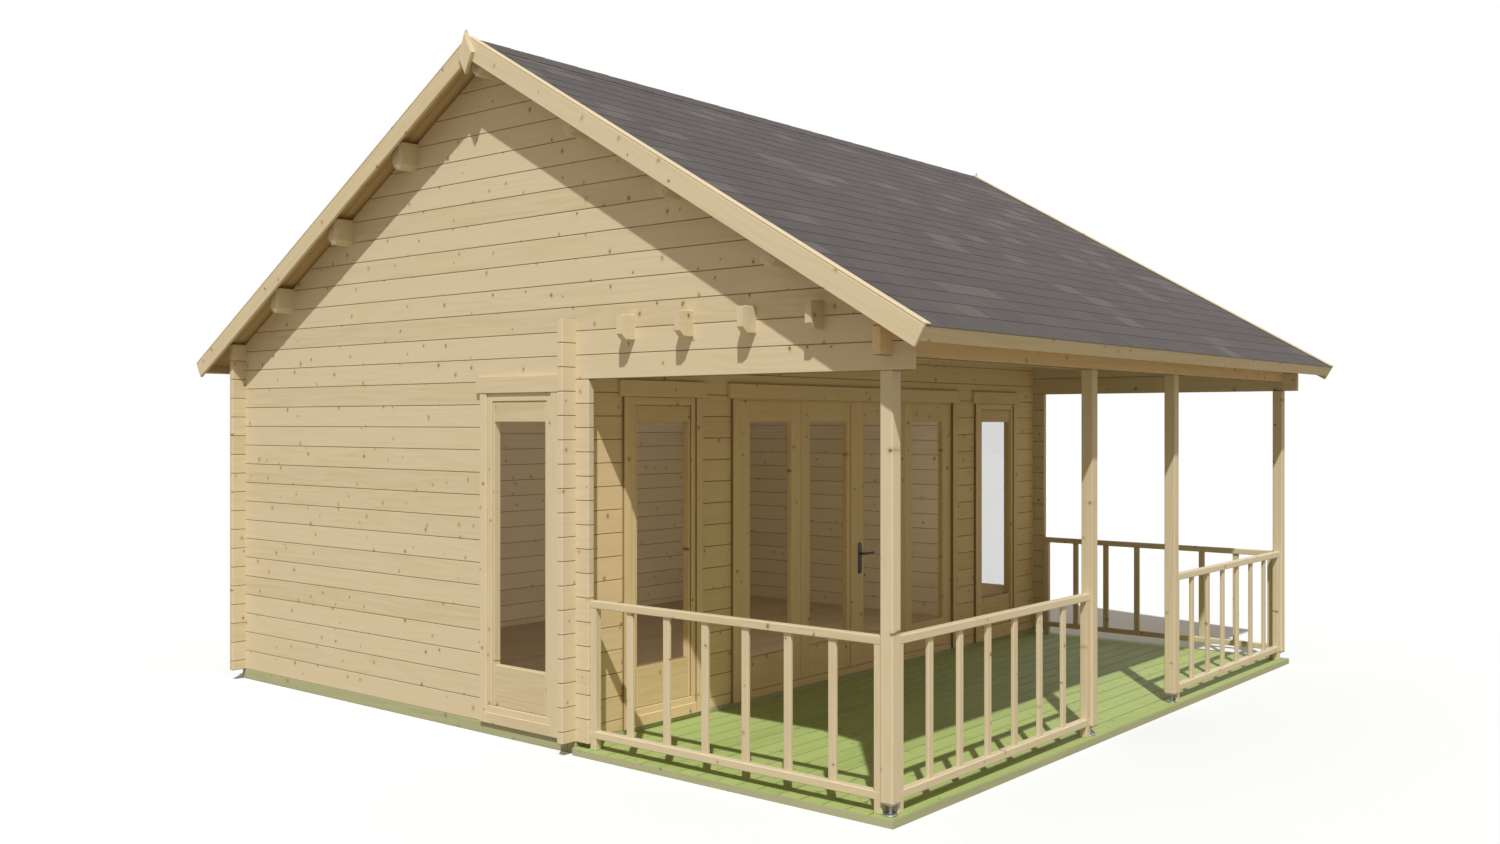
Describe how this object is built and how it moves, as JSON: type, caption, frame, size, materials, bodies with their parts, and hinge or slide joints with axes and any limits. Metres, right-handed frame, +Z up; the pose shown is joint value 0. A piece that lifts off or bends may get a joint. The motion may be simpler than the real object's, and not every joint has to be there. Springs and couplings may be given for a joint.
{
  "type": "garden house",
  "caption": "Spruce log garden house with a gable roof, a railed veranda under one eave, a glazed folding door and tall narrow windows, on treated ground beams",
  "frame": {"origin": "on the ground, under the middle of the ridge", "axes": "+X across the gables towards the veranda, +Y along the ridge away from the pictured gable, +Z up"},
  "size_m": [6.2434, 5.852, 4.1344],
  "materials": {
    "spruce": "planed spruce, untreated, with fine grain and small knots",
    "roof_wood": "planed tongue-and-groove boards",
    "treated_wood": "pressure-treated softwood with a green tint, grooved on the deck",
    "floor_wood": "floor boards, greyed",
    "shingles": "mineral-coated bitumen shingles, grey with tone changes",
    "glass": "clear flat glass",
    "zinc": "zinc-plated steel"
  },
  "bodies": {
    "root": {"base_beams": "treated_wood", "room_floor": "floor_wood", "veranda_deck": "treated_wood", "back_wall": "spruce", "front_gable_wall": "spruce", "front_gable_pier": "spruce", "front_gable_top": "spruce", "rear_gable_wall": "spruce", "rear_gable_pier": "spruce", "rear_gable_top": "spruce", "window_heads": "spruce", "veranda_wall_piers": "spruce", "veranda_wall_header": "spruce", "eave_beam": "spruce", "veranda_joists": "spruce", "ridge_beam": "spruce", "back_purlins": "spruce", "veranda_purlins": "spruce", "veranda_posts": "spruce", "post_feet": "zinc", "front_railing": "spruce", "rear_railing": "spruce", "front_bay_railing": "spruce", "rear_bay_railing": "spruce", "back_roof_boards": "roof_wood", "veranda_roof_boards": "roof_wood", "back_shingles": "shingles", "veranda_shingles": "shingles", "ridge_cap": "shingles", "front_bargeboards": "spruce", "rear_bargeboards": "spruce", "verge_caps": "spruce", "eave_fascias": "spruce", "finials": "spruce", "front_window_frame": "spruce", "rear_window_frame": "spruce", "veranda_window_frames": "spruce", "window_glass": "glass", "door_frame": "spruce", "left_outer_leaf": "spruce", "left_inner_leaf": "spruce", "right_inner_leaf": "spruce", "right_outer_leaf": "spruce", "door_glass": "glass", "door_handle": "zinc"}
  },
  "joints": []
}
